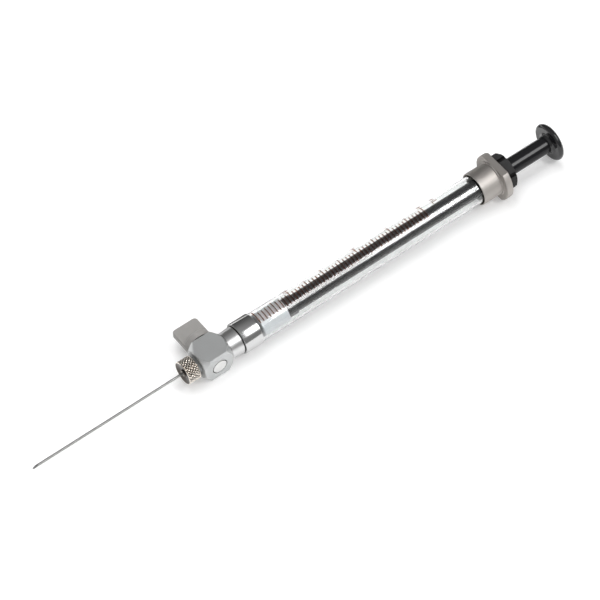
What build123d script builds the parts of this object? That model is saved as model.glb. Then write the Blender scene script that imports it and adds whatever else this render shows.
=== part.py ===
"""Gastight glass microsyringe with a rotary shut-off valve and a removable needle.

The syringe lies along X: the needle points to -X and the knob to +X.  The origin is on the axis, where
the cannula leaves the front face of its nut.  +Z is up through the flats of the finger flange, and the
valve lever stands out to +Y.  All sizes are in millimetres.
"""
import os
from math import hypot, pi, radians, sqrt, tan

from build123d import *

os.makedirs("parts", exist_ok=True)

# ---------------------------------------------------------------- driving dimensions
CLOSE_FIT = 0.03        # radial gap between turned pieces that are pressed, bonded or screwed together
RUNNING_FIT = 0.04      # radial gap where one piece slides or turns in another
THRU_GAP = 0.30         # radial gap where a piece only passes through

# Needle and its nut
NEEDLE_LENGTH = 50.8    # tip to nut, two inches
NEEDLE_OD = 0.72
NEEDLE_ID = 0.41
NEEDLE_BEVEL = 20.0     # degrees between the bevel and the axis
NEEDLE_TAPER = 0.05     # by which the swaged rear end gets smaller in radius
NUT_LENGTH = 4.0
NUT_OD = 7.2
NUT_WALL = 0.9          # front wall that pulls on the hub
NUT_FRONT_CHAMFER = 0.25
NUT_REAR_CHAMFER = 0.20
HUB_STEM_OD = 2.0
HUB_FLANGE_OD = 3.8
HUB_FLANGE_LENGTH = 0.8
SEAL_THICKNESS = 0.6

# Valve
NOSE_OD = 4.8
NOSE_SHOWING = 0.9      # length of nose between nut and body
FLOW_OD = 0.6           # drilled passage from neck to needle
VALVE_LENGTH = 9.6
VALVE_WIDTH = 9.15      # across the flats of the square bar
VALVE_END_OD = 8.8      # flat circle that the turned chamfers leave on each end
VALVE_EDGE = 0.35
ROTOR_OD = 3.4
ROTOR_HEAD_OD = 4.4
ROTOR_HEAD_LENGTH = 0.65
ROTOR_PORT_OD = 0.8
ROTOR_END_PLAY = 0.10
STEM_OD = 2.2
STEM_FLAT = 0.9         # stem axis to the flat that the set screw bears on
STEM_LENGTH = 1.6       # engaged in the lever's hub
SLEEVE_WALL = 0.72
VALVE_REAR_WALL = 0.85  # wall behind the sleeve, pierced by the stem
WASHER_THICKNESS = 0.25
WASHER_OD = 6.0
LEVER_HUB_OD = 8.4
LEVER_HUB_LENGTH = 2.2
LEVER_WIDTH = 8.4
LEVER_REACH = 5.9       # paddle length beyond the hub
LEVER_THICKNESS = 2.0
LEVER_CORNER = 1.1
LEVER_EDGE = 0.2
LEVER_HUB_EDGE = 0.4
SET_SCREW_OD = 1.2
SET_SCREW_LENGTH = 1.8

# Neck and front ferrule
NECK_LENGTH = 4.1
NECK_FRONT_OD = 8.0
NECK_REAR_OD = 8.6
NECK_STUB_OD = 4.4
NECK_STUB_LENGTH = 1.9
NECK_PORT_OD = 0.8
GROOVE_WIDTH = 0.3
GROOVE_OD = 7.9
SPIGOT_LENGTH = 1.7
GASKET_THICKNESS = 0.4
FRONT_FERRULE_LENGTH = 6.0
FRONT_FERRULE_WALL = 0.34
FRONT_FERRULE_CHAMFER = 0.18

# Glass barrel
CAPACITY = 2500.0       # cubic millimetres over the whole scale
SCALE_LENGTH = 60.0
BARREL_WALL = 0.86
BARREL_LENGTH = 88.3
BARREL_END_WALL = 5.0   # solid glass in front of the bore

# Plunger
PISTON_LENGTH = 9.0
PISTON_CHAMFER = 0.25
STUD_OD = 2.8
STUD_LENGTH = 3.5
STUD_END_GAP = 0.1
COUPLING_OD = 5.9
COUPLING_LENGTH = 3.4
ROD_OD = 5.2
ROD_SHOWING = 15.4      # rod between guide nut and knob when the plunger is home
KNOB_OD = 12.0
KNOB_THICKNESS = 1.9
KNOB_EDGE = 0.5         # rim broken on both sides
KNOB_COLLAR_OD = 7.0
KNOB_COLLAR_LENGTH = 0.7
KNOB_STUD_OD = 3.0
KNOB_STUD_LENGTH = 1.2

# Rear ferrule, finger flange and guide
REAR_FERRULE_WALL = 0.69
REAR_SOCKET_DEPTH = 5.3  # ferrule's front edge to the shoulder behind the glass
REAR_LIP_DEPTH = 1.4     # length of the open lip around the glass
REAR_LIP_WALL = 0.38
REAR_LIP_EDGE = 0.13
REAR_BACK_LENGTH = 1.5   # shoulder to flange
REAR_GASKET_THICKNESS = 0.3
REAR_ROOT = 0.5          # cone where the sleeve runs out into the flange
FLANGE_REACH = 2.13      # how far the flange's rim stands out from the ferrule
FLAT_REACH = 0.51        # how far its two flats stand out
FLANGE_THICKNESS = 2.1
FLANGE_EDGE = 0.2
GUIDE_SHOULDER = 0.45    # step from the glass down to the guide's thread
BUSH_LENGTH = 1.4
GUIDE_NUT_STEP = 1.15    # thread to flat
GUIDE_NUT_LENGTH = 3.2
GUIDE_NUT_TURN = 26.0    # degrees from +Y to the first corner, towards +Z
NOTCH_COUNT = 6
NOTCH_WIDTH = 1.25
NOTCH_DEPTH = 1.0
GUIDE_NUT_CHAMFER = 30.0  # degrees between the turned chamfer and the end face

# ---------------------------------------------------------------- places along the axis, from the nut backwards
hub_end = NUT_WALL + HUB_FLANGE_LENGTH
nose_start = hub_end + SEAL_THICKNESS
valve_front = NUT_LENGTH + NOSE_SHOWING
valve_centre = valve_front + VALVE_LENGTH / 2
valve_back = valve_front + VALVE_LENGTH
stub_start = valve_back - NECK_STUB_LENGTH
neck_end = valve_back + NECK_LENGTH
ferrule_front = neck_end + GROOVE_WIDTH
spigot_end = ferrule_front + SPIGOT_LENGTH
barrel_front = spigot_end + GASKET_THICKNESS
barrel_back = barrel_front + BARREL_LENGTH
bore_front = barrel_front + BARREL_END_WALL
piston_back = bore_front + PISTON_LENGTH
rod_front = piston_back + COUPLING_LENGTH
shoulder = barrel_back + REAR_GASKET_THICKNESS
rear_ferrule_front = shoulder - REAR_SOCKET_DEPTH
flange_front = shoulder + REAR_BACK_LENGTH
flange_back = flange_front + FLANGE_THICKNESS
bush_end = shoulder + BUSH_LENGTH
guide_nut_end = flange_back + GUIDE_NUT_LENGTH
knob_front = guide_nut_end + ROD_SHOWING
knob_back = knob_front + KNOB_THICKNESS

bore_od = 2 * sqrt(CAPACITY / (pi * SCALE_LENGTH))
barrel_od = bore_od + 2 * BARREL_WALL
socket_od = barrel_od + 2 * CLOSE_FIT
rear_ferrule_od = socket_od + 2 * REAR_FERRULE_WALL
flange_od = rear_ferrule_od + 2 * FLANGE_REACH
guide_thread_od = barrel_od - 2 * GUIDE_SHOULDER
guide_nut_flats = guide_thread_od + 2 * GUIDE_NUT_STEP
valve_half = VALVE_WIDTH / 2
cross_bore_od = ROTOR_OD + 2 * RUNNING_FIT + 2 * SLEEVE_WALL + 2 * CLOSE_FIT
cross_bore_end = valve_half - VALVE_REAR_WALL
sleeve_start = -valve_half + ROTOR_HEAD_LENGTH + ROTOR_END_PLAY
lever_start = valve_half + WASHER_THICKNESS + ROTOR_END_PLAY
lever_hub_end = lever_start + LEVER_HUB_LENGTH
lever_tip = lever_hub_end + LEVER_REACH


def outline(*points):
    """Closed outline through (x, radius) points, to be turned about the syringe's axis."""
    with BuildSketch(Plane.XY) as profile:
        with BuildLine():
            Polyline(*points, close=True)
        make_face()
    return profile.sketch


def disc(x, diameter):
    """Round sketch square to the syringe's axis."""
    with BuildSketch(Plane.YZ.offset(x)) as section:
        Circle(diameter / 2)
    return section.sketch


def side_disc(y, diameter):
    """Round sketch square to the valve's axis, facing +Y."""
    with BuildSketch(Plane((valve_centre, y, 0), x_dir=(1, 0, 0), z_dir=(0, 1, 0))) as section:
        Circle(diameter / 2)
    return section.sketch


def save(piece, name):
    """Label a finished piece and write it to its own file."""
    piece.part.label = name
    export_step(piece.part, f"parts/{name}.step")


# ---------------------------------------------------------------- needle
# Steel tube with a plain bevel; its rear end is swaged to a slight taper inside the hub.
tapered_od = NEEDLE_OD - 2 * NEEDLE_TAPER
with BuildPart() as needle_cannula:
    revolve(outline((-NEEDLE_LENGTH, NEEDLE_ID / 2), (-NEEDLE_LENGTH, NEEDLE_OD / 2), (0, NEEDLE_OD / 2),
                    (hub_end, tapered_od / 2), (hub_end, NEEDLE_ID / 2)),
            axis=Axis.X)
    bevel_plane = Plane((-NEEDLE_LENGTH, 0, -NEEDLE_OD / 2), x_dir=(0, 1, 0), z_dir=(0, 0, 1))
    split(bisect_by=bevel_plane.rotated((0, -NEEDLE_BEVEL, 0)), keep=Keep.BOTTOM)
save(needle_cannula, "needle_cannula")

# Stepped hub that is pressed on the cannula; the nut bears on its flange.
with BuildPart() as needle_hub:
    revolve(outline((0, NEEDLE_OD / 2 + CLOSE_FIT), (hub_end, tapered_od / 2 + CLOSE_FIT),
                    (hub_end, HUB_FLANGE_OD / 2), (NUT_WALL, HUB_FLANGE_OD / 2), (NUT_WALL, HUB_STEM_OD / 2),
                    (0, HUB_STEM_OD / 2)),
            axis=Axis.X)
save(needle_hub, "needle_hub")

# Soft washer between the hub and the valve's nose.
with BuildPart() as needle_seal:
    extrude(disc(hub_end, HUB_FLANGE_OD), amount=SEAL_THICKNESS)
    extrude(disc(hub_end, FLOW_OD), amount=SEAL_THICKNESS, mode=Mode.SUBTRACT)
save(needle_seal, "needle_seal")

# Cap nut: closed front wall with a hole for the hub, and a socket that screws over the nose.
with BuildPart() as needle_nut:
    revolve(outline((0, HUB_STEM_OD / 2 + CLOSE_FIT), (NUT_WALL, HUB_STEM_OD / 2 + CLOSE_FIT),
                    (NUT_WALL, NOSE_OD / 2 + CLOSE_FIT), (NUT_LENGTH, NOSE_OD / 2 + CLOSE_FIT),
                    (NUT_LENGTH, NUT_OD / 2 - NUT_REAR_CHAMFER), (NUT_LENGTH - NUT_REAR_CHAMFER, NUT_OD / 2),
                    (NUT_FRONT_CHAMFER, NUT_OD / 2), (0, NUT_OD / 2 - NUT_FRONT_CHAMFER)),
            axis=Axis.X)
save(needle_nut, "needle_nut")

# ---------------------------------------------------------------- valve
# Square bar with broken long edges; both ends are turned to 45 degree cones that leave a round flat.
corner_radius = hypot(VALVE_WIDTH, VALVE_WIDTH) / 2
cone_depth = corner_radius - VALVE_END_OD / 2
with BuildPart() as valve_body:
    with BuildSketch(Plane.YZ.offset(valve_front)):
        Rectangle(VALVE_WIDTH, VALVE_WIDTH)
    extrude(amount=VALVE_LENGTH)
    chamfer(valve_body.edges().filter_by(Axis.X), VALVE_EDGE)
    revolve(outline((valve_front, 0), (valve_front, VALVE_END_OD / 2),
                    (valve_front + cone_depth, corner_radius), (valve_back - cone_depth, corner_radius),
                    (valve_back, VALVE_END_OD / 2), (valve_back, 0)),
            axis=Axis.X, mode=Mode.INTERSECT)
    extrude(disc(nose_start, NOSE_OD), amount=valve_front - nose_start)
    extrude(disc(nose_start, FLOW_OD), amount=stub_start - nose_start, mode=Mode.SUBTRACT)
    extrude(disc(stub_start, NECK_STUB_OD + 2 * CLOSE_FIT), amount=NECK_STUB_LENGTH, mode=Mode.SUBTRACT)
    extrude(side_disc(-valve_half, cross_bore_od), amount=valve_half + cross_bore_end, mode=Mode.SUBTRACT)
    extrude(side_disc(0, STEM_OD + 2 * RUNNING_FIT), amount=valve_half, mode=Mode.SUBTRACT)
save(valve_body, "valve_body")

# Plain bearing sleeve of the rotor, with a port on each side.
with BuildPart() as rotor_sleeve:
    extrude(side_disc(sleeve_start, cross_bore_od - 2 * CLOSE_FIT), amount=cross_bore_end - sleeve_start)
    extrude(side_disc(sleeve_start, ROTOR_OD + 2 * RUNNING_FIT), amount=cross_bore_end - sleeve_start,
            mode=Mode.SUBTRACT)
    extrude(disc(valve_centre, ROTOR_PORT_OD), amount=cross_bore_od / 2, both=True, mode=Mode.SUBTRACT)
save(rotor_sleeve, "rotor_sleeve")

# Rotor: head flush with the body's side, drilled plug, and a stem with a flat for the set screw.
plug_end = cross_bore_end - ROTOR_END_PLAY
stem_end = lever_start + STEM_LENGTH
with BuildPart() as valve_rotor:
    extrude(side_disc(-valve_half, ROTOR_HEAD_OD), amount=ROTOR_HEAD_LENGTH)
    extrude(side_disc(-valve_half, ROTOR_OD), amount=valve_half + plug_end)
    extrude(side_disc(0, STEM_OD), amount=stem_end)
    extrude(disc(valve_centre, ROTOR_PORT_OD), amount=ROTOR_OD, both=True, mode=Mode.SUBTRACT)
    with Locations((valve_centre, lever_start, -STEM_FLAT)):
        Box(STEM_OD, stem_end - lever_start, STEM_OD, align=(Align.CENTER, Align.MIN, Align.MAX),
            mode=Mode.SUBTRACT)
save(valve_rotor, "valve_rotor")

# Thin washer that the lever's hub turns on.
with BuildPart() as friction_washer:
    extrude(side_disc(valve_half, WASHER_OD), amount=WASHER_THICKNESS)
    extrude(side_disc(valve_half, STEM_OD + 2 * THRU_GAP), amount=WASHER_THICKNESS, mode=Mode.SUBTRACT)
save(friction_washer, "friction_washer")

# Flat paddle of the lever, with rounded outer corners and broken edges.
with BuildPart() as paddle:
    with BuildSketch(Plane.XY.offset(-LEVER_THICKNESS / 2)):
        with Locations((valve_centre, lever_start)):
            Rectangle(LEVER_WIDTH, lever_tip - lever_start, align=(Align.CENTER, Align.MIN))
    extrude(amount=LEVER_THICKNESS)
    fillet(paddle.edges().filter_by(Axis.Z).group_by(Axis.Y)[-1], LEVER_CORNER)
    chamfer(paddle.faces().sort_by(Axis.Z)[-1].edges(), LEVER_EDGE)
    chamfer(paddle.faces().sort_by(Axis.Z)[0].edges(), LEVER_EDGE)

# Lever: the paddle on a round hub with a broken outer edge.
screw_y = lever_start + STEM_LENGTH / 2
with BuildPart() as valve_lever:
    extrude(side_disc(lever_start, LEVER_HUB_OD), amount=LEVER_HUB_LENGTH)
    chamfer(valve_lever.edges().filter_by(GeomType.CIRCLE).sort_by(Axis.Y)[-1], LEVER_HUB_EDGE)
    add(paddle.part)
    extrude(side_disc(lever_start, STEM_OD + 2 * CLOSE_FIT), amount=STEM_LENGTH + CLOSE_FIT, mode=Mode.SUBTRACT)
    with BuildSketch(Plane.XY.offset(-STEM_FLAT)):
        with Locations((valve_centre, screw_y)):
            Circle(SET_SCREW_OD / 2 + CLOSE_FIT)
    extrude(amount=-LEVER_HUB_OD / 2, mode=Mode.SUBTRACT)
save(valve_lever, "valve_lever")

# Headless screw from under the hub onto the stem's flat.
with BuildPart() as lever_screw:
    with BuildSketch(Plane.XY.offset(-STEM_FLAT - CLOSE_FIT)):
        with Locations((valve_centre, screw_y)):
            Circle(SET_SCREW_OD / 2)
    extrude(amount=-SET_SCREW_LENGTH)
save(lever_screw, "lever_screw")

# ---------------------------------------------------------------- neck and front ferrule
# Turned adapter: stub in the valve, tapered neck, undercut, and a spigot inside the ferrule.
with BuildPart() as barrel_neck:
    revolve(outline((stub_start, NECK_PORT_OD / 2), (stub_start, NECK_STUB_OD / 2), (valve_back, NECK_STUB_OD / 2),
                    (valve_back, NECK_FRONT_OD / 2), (neck_end, NECK_REAR_OD / 2), (neck_end, GROOVE_OD / 2),
                    (ferrule_front, GROOVE_OD / 2), (ferrule_front, barrel_od / 2), (spigot_end, barrel_od / 2),
                    (spigot_end, NECK_PORT_OD / 2)),
            axis=Axis.X)
save(barrel_neck, "barrel_neck")

# Soft disc that the glass is pulled up against.
with BuildPart() as front_gasket:
    extrude(disc(spigot_end, barrel_od), amount=GASKET_THICKNESS)
    extrude(disc(spigot_end, NECK_PORT_OD), amount=GASKET_THICKNESS, mode=Mode.SUBTRACT)
save(front_gasket, "front_gasket")

# Polished sleeve over the neck's spigot and the front of the glass.
front_ferrule_od = socket_od + 2 * FRONT_FERRULE_WALL
with BuildPart() as front_ferrule:
    extrude(disc(ferrule_front, front_ferrule_od), amount=FRONT_FERRULE_LENGTH)
    chamfer(front_ferrule.edges().filter_by(GeomType.CIRCLE), FRONT_FERRULE_CHAMFER)
    extrude(disc(ferrule_front, socket_od), amount=FRONT_FERRULE_LENGTH, mode=Mode.SUBTRACT)
save(front_ferrule, "front_ferrule")

# ---------------------------------------------------------------- glass barrel
# Precision tube, solid at the front but for its outlet.
with BuildPart() as glass_barrel:
    extrude(disc(barrel_front, barrel_od), amount=BARREL_LENGTH)
    extrude(disc(bore_front, bore_od), amount=barrel_back - bore_front, mode=Mode.SUBTRACT)
    extrude(disc(barrel_front, NECK_PORT_OD), amount=BARREL_END_WALL, mode=Mode.SUBTRACT)
save(glass_barrel, "glass_barrel")

# ---------------------------------------------------------------- plunger
# Piston that wipes the bore, with a blind hole for the coupling's stud.
piston_od = bore_od - 2 * RUNNING_FIT
stud_hole_od = STUD_OD + 2 * CLOSE_FIT
stud_hole_depth = STUD_LENGTH + STUD_END_GAP
with BuildPart() as piston:
    extrude(disc(bore_front, piston_od), amount=PISTON_LENGTH)
    chamfer(piston.edges().filter_by(GeomType.CIRCLE).sort_by(Axis.X)[0], PISTON_CHAMFER)
    extrude(disc(piston_back, stud_hole_od), amount=-stud_hole_depth, mode=Mode.SUBTRACT)
save(piston, "piston")

# Coupling: collar behind the piston with a stud on each side.
with BuildPart() as piston_coupling:
    extrude(disc(piston_back, COUPLING_OD), amount=COUPLING_LENGTH)
    extrude(disc(piston_back, STUD_OD), amount=-STUD_LENGTH)
    extrude(disc(rod_front, STUD_OD), amount=STUD_LENGTH)
save(piston_coupling, "piston_coupling")

# Rod: round bar with a tapped front end and a stud that the knob is fixed on.
with BuildPart() as plunger_rod:
    extrude(disc(rod_front, ROD_OD), amount=knob_front - rod_front)
    extrude(disc(rod_front, stud_hole_od), amount=stud_hole_depth, mode=Mode.SUBTRACT)
    extrude(disc(knob_front, KNOB_STUD_OD), amount=KNOB_STUD_LENGTH)
save(plunger_rod, "plunger_rod")

# Knob: thin button with its rim broken on both sides and a short flared collar around the rod.
collar_start = knob_front - KNOB_COLLAR_LENGTH
collar_hole_od = ROD_OD + 2 * CLOSE_FIT
with BuildPart() as plunger_knob:
    revolve(outline((collar_start, collar_hole_od / 2), (collar_start, KNOB_COLLAR_OD / 2 - KNOB_COLLAR_LENGTH),
                    (knob_front, KNOB_COLLAR_OD / 2), (knob_front, KNOB_OD / 2), (knob_back, KNOB_OD / 2),
                    (knob_back, 0), (knob_front, 0), (knob_front, collar_hole_od / 2)),
            axis=Axis.X)
    rim_edges = plunger_knob.edges().filter_by(GeomType.CIRCLE).group_by(SortBy.RADIUS)[-1]
    chamfer(rim_edges, KNOB_EDGE)
    extrude(disc(knob_front, KNOB_STUD_OD + 2 * CLOSE_FIT), amount=KNOB_STUD_LENGTH + STUD_END_GAP,
            mode=Mode.SUBTRACT)
save(plunger_knob, "plunger_knob")

# ---------------------------------------------------------------- rear ferrule, finger flange and guide
# Soft ring between the rear end of the glass and the ferrule's shoulder.
with BuildPart() as rear_gasket:
    extrude(disc(barrel_back, barrel_od), amount=REAR_GASKET_THICKNESS)
    extrude(disc(barrel_back, bore_od), amount=REAR_GASKET_THICKNESS, mode=Mode.SUBTRACT)
save(rear_gasket, "rear_gasket")

# Ferrule bonded on the glass, in one piece with the finger flange; two flats keep it from rolling.
guide_bore_od = guide_thread_od + 2 * CLOSE_FIT
with BuildPart() as rear_ferrule:
    extrude(disc(flange_front, flange_od), amount=FLANGE_THICKNESS)
    chamfer(rear_ferrule.edges().filter_by(GeomType.CIRCLE), FLANGE_EDGE)
    with BuildSketch(Plane.YZ.offset(flange_front)):
        Rectangle(flange_od, rear_ferrule_od + 2 * FLAT_REACH)
    extrude(amount=FLANGE_THICKNESS, mode=Mode.INTERSECT)
    extrude(disc(rear_ferrule_front, rear_ferrule_od), amount=flange_front - rear_ferrule_front)
    chamfer(rear_ferrule.edges().filter_by(GeomType.CIRCLE).sort_by(Axis.X)[0], REAR_LIP_EDGE)
    root_edges = rear_ferrule.edges().filter_by(GeomType.CIRCLE).filter_by_position(
        Axis.X, flange_front - FLANGE_EDGE / 2, flange_front + FLANGE_EDGE / 2)
    chamfer(root_edges.sort_by(SortBy.RADIUS)[0], REAR_ROOT)
    extrude(disc(rear_ferrule_front, rear_ferrule_od - 2 * REAR_LIP_WALL), amount=REAR_LIP_DEPTH,
            mode=Mode.SUBTRACT)
    extrude(disc(rear_ferrule_front, socket_od), amount=REAR_SOCKET_DEPTH, mode=Mode.SUBTRACT)
    extrude(disc(shoulder, guide_bore_od), amount=flange_back - shoulder, mode=Mode.SUBTRACT)
save(rear_ferrule, "rear_ferrule")

# Bush that centres the rod, clamped between the gasket and the guide nut.
with BuildPart() as guide_bush:
    extrude(disc(shoulder, guide_thread_od), amount=BUSH_LENGTH)
    extrude(disc(shoulder, ROD_OD + 2 * RUNNING_FIT), amount=BUSH_LENGTH, mode=Mode.SUBTRACT)
save(guide_bush, "guide_bush")

# Six-sided nut with a key slot at every corner and a turned chamfer behind, screwed into the flange.
corner_reach = guide_nut_flats / sqrt(3)
chamfer_depth = (corner_reach - guide_nut_flats / 2) * tan(radians(GUIDE_NUT_CHAMFER))
with BuildPart() as guide_nut:
    with BuildSketch(Plane.YZ.offset(flange_back)):
        RegularPolygon(guide_nut_flats / 2, NOTCH_COUNT, major_radius=False, rotation=GUIDE_NUT_TURN)
        with PolarLocations(corner_reach - NOTCH_DEPTH, NOTCH_COUNT, start_angle=GUIDE_NUT_TURN):
            Rectangle(2 * NOTCH_DEPTH, NOTCH_WIDTH, align=(Align.MIN, Align.CENTER), mode=Mode.SUBTRACT)
    extrude(amount=GUIDE_NUT_LENGTH)
    revolve(outline((flange_back, 0), (flange_back, corner_reach), (guide_nut_end - chamfer_depth, corner_reach),
                    (guide_nut_end, guide_nut_flats / 2), (guide_nut_end, 0)),
            axis=Axis.X, mode=Mode.INTERSECT)
    extrude(disc(bush_end, guide_thread_od), amount=flange_back - bush_end)
    extrude(disc(bush_end, ROD_OD + 2 * THRU_GAP), amount=guide_nut_end - bush_end, mode=Mode.SUBTRACT)
save(guide_nut, "guide_nut")
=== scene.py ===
import math

import bmesh
import bpy
from mathutils import Matrix, Vector


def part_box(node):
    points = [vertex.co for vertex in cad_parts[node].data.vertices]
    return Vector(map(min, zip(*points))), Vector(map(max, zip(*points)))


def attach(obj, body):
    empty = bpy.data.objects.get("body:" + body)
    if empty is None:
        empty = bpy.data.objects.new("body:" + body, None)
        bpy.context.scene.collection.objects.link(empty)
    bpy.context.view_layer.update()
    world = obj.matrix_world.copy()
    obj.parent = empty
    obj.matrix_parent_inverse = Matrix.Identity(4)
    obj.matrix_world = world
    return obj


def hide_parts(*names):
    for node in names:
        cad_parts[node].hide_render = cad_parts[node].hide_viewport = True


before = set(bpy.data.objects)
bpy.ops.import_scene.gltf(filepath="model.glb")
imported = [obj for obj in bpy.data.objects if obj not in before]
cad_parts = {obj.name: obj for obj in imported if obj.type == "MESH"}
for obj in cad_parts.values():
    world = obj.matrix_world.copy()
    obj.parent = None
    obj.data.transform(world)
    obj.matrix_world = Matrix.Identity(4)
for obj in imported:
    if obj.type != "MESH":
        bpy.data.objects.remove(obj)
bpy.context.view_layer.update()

# ---------------------------------------------------------------- camera
# A long lens above the needle's side of the bench.  The barrel runs away from it to the upper right,
# and the camera is rolled a little, so that the syringe lies along the diagonal of the frame.
VIEW_AZIMUTH = math.radians(-34.39)
VIEW_ELEVATION = math.radians(54.46)
VIEW_ROLL = math.radians(-3.15)
VIEW_DISTANCE = 0.9143
VIEW_AIM = Vector((0.03943, -0.00247, 0.00396))
LENS_MM = 194.3
SENSOR_MM = 36.0
VIEW_REACH = 10.0

level_right = Vector((math.cos(VIEW_AZIMUTH), math.sin(VIEW_AZIMUTH), 0))
camera_back = Vector((math.sin(VIEW_AZIMUTH) * math.cos(VIEW_ELEVATION),
                      -math.cos(VIEW_AZIMUTH) * math.cos(VIEW_ELEVATION),
                      math.sin(VIEW_ELEVATION)))
level_up = camera_back.cross(level_right)
camera_right = math.cos(VIEW_ROLL) * level_right + math.sin(VIEW_ROLL) * level_up
camera_up = camera_back.cross(camera_right)

camera_data = bpy.data.cameras.new("view")
camera_data.sensor_width = SENSOR_MM
camera_data.lens = LENS_MM
camera_data.clip_end = VIEW_REACH
camera = bpy.data.objects.new("view", camera_data)
camera.matrix_world = (Matrix.Translation(VIEW_AIM + camera_back * VIEW_DISTANCE)
                       @ Matrix((camera_right, camera_up, camera_back)).transposed().to_4x4())
bpy.context.collection.objects.link(camera)
bpy.context.scene.camera = camera
bpy.context.scene.view_settings.view_transform = "Standard"

# ---------------------------------------------------------------- floor
# A wide sheet of matt white board.  It touches the valve block and the flat of the finger flange, which
# carry the syringe, so it slopes by less than a degree against the barrel.
FLOOR_REACH = 0.9
FLOOR_WHITE = (0.85, 0.85, 0.85, 1)
FLOOR_GLOW = 0.22       # added for the eye and for reflections only, so that the board reads as white
DARK_REFLECTION_LEVEL = 0.16    # painted reflection: what metal shows of the board in two dark patches beyond the ferrules, which the eye sees white
DARK_REFLECTION_START = 0.004      # from the barrel's axis towards the lever's side
DARK_REFLECTION_FADE = 0.008
DARK_REFLECTION_SLANT = 0.685      # they run away from the barrel as the camera looks, along X for each unit of Y
FRONT_DARK_REFLECTION = (0.0, 0.026)
REAR_DARK_REFLECTION = (0.092, 0.112)


class Socket:
    """A node's socket that can stand in a formula, so that a pattern reads as written maths."""

    def __init__(self, tree, out=None):
        self.tree = tree
        self.out = out

    def node(self, kind, settings=None, inputs=None, output=0):
        """Add one node: its settings first, then the numbers or links of its sockets."""
        made = self.tree.nodes.new(kind)
        for name, value in (settings or {}).items():
            setattr(made, name, value)
        for name, value in (inputs or {}).items():
            if isinstance(value, Socket):
                self.tree.links.new(value.out, made.inputs[name])
            else:
                made.inputs[name].default_value = value
        return Socket(self.tree, made.outputs[output] if made.outputs else None)

    def math(self, operation, *values):
        return self.node("ShaderNodeMath", {"operation": operation}, dict(enumerate((self,) + values)))

    def split(self):
        """The three parts of a vector."""
        parts = self.node("ShaderNodeSeparateXYZ", inputs={0: self})
        return [Socket(self.tree, out) for out in parts.out.node.outputs]

    def blend(self, first, second):
        """Colour between first and second, with this value as the share of the second."""
        return self.node("ShaderNodeMix", {"data_type": "RGBA"}, {0: self, 6: first, 7: second}, 2)

    def __add__(self, other):
        return self.math("ADD", other)

    def __sub__(self, other):
        return self.math("SUBTRACT", other)

    def __mul__(self, other):
        return self.math("MULTIPLY", other)

    def __rsub__(self, other):
        return self.node("ShaderNodeMath", {"operation": "SUBTRACT"}, {0: other, 1: self})

    __radd__ = __add__
    __rmul__ = __mul__

    def clamped(self):
        """The value held between 0 and 1."""
        return self.math("MAXIMUM", 0.0).math("MINIMUM", 1.0)

    def rise(self, start, width):
        """0 up to start, then a straight rise to 1 over the width."""
        return ((self - start) * (1 / width)).clamped()

    def between(self, low, high):
        """A pattern of 0 to 1 as one of low to high."""
        return self * (high - low) + low


def new_piece(name, mesh, material=None):
    """Put a finished mesh in the scene as an object at the origin."""
    piece = bpy.data.objects.new(name, mesh)
    bpy.context.collection.objects.link(piece)
    if material:
        mesh.materials.clear()
        mesh.materials.append(material)
    return piece


def ray_kinds(tree):
    """1 or 0 for a ray of the eye, of a gloss and through glass; a ray may be both of the last two."""
    path = Socket(tree).node("ShaderNodeLightPath").out.node.outputs
    return [Socket(tree, path[f"Is {kind} Ray"]) for kind in ("Camera", "Glossy", "Transmission")]


def make_floor():
    """The board, as one sheet through the two lowest places that the syringe rests on."""
    block_low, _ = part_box("valve_body")
    flange_low, flange_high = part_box("rear_ferrule")
    rotor_front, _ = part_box("valve_rotor")
    front = Vector((rotor_front[0], 0, block_low[2]))
    back = Vector((flange_high[0], 0, flange_low[2]))
    slope = (back.z - front.z) / (back.x - front.x)
    corners = [(x, y, front.z + slope * (x - front.x)) for x, y in
               ((-FLOOR_REACH, -FLOOR_REACH), (FLOOR_REACH, -FLOOR_REACH),
                (FLOOR_REACH, FLOOR_REACH), (-FLOOR_REACH, FLOOR_REACH))]
    mesh = bpy.data.meshes.new("floor")
    mesh.from_pydata(corners, [], [(0, 1, 2, 3)])
    material = bpy.data.materials.new("white_board")
    material.use_nodes = True
    tree = material.node_tree
    shader = tree.nodes["Principled BSDF"]
    shader.inputs["Base Color"].default_value = FLOOR_WHITE
    shader.inputs["Roughness"].default_value = 1.0
    shader.inputs["Specular IOR Level"].default_value = 0.0
    start = Socket(tree)
    eye, gloss_ray, through = ray_kinds(tree)
    seen = (eye + gloss_ray + through).math("MINIMUM", 1.0)
    glow = start.node("ShaderNodeEmission", inputs={"Strength": seen * FLOOR_GLOW})
    both = start.node("ShaderNodeAddShader", inputs={0: Socket(tree, shader.outputs[0]), 1: glow})
    along, toward_lever, _ = start.node("ShaderNodeTexCoord", output="Object").split()
    mirror = gloss_ray * (1 - through)
    slanted = along - toward_lever * DARK_REFLECTION_SLANT
    front_patch, rear_patch = (slanted.rise(first, DARK_REFLECTION_FADE) * (1 - slanted.rise(last, DARK_REFLECTION_FADE))
                             for first, last in (FRONT_DARK_REFLECTION, REAR_DARK_REFLECTION))
    # painted reflection: where the patches lie, mirror rays see the board dark, though the eye sees it white
    painted_reflection_mask = toward_lever.rise(DARK_REFLECTION_START, DARK_REFLECTION_FADE) * (front_patch + rear_patch)
    painted_dark_reflection = start.node("ShaderNodeEmission", inputs={"Strength": DARK_REFLECTION_LEVEL})
    mixed = start.node("ShaderNodeMixShader", inputs={0: painted_reflection_mask * mirror, 1: both, 2: painted_dark_reflection})
    tree.links.new(mixed.out, tree.nodes["Material Output"].inputs["Surface"])
    new_piece("floor", mesh, material)


make_floor()

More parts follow.
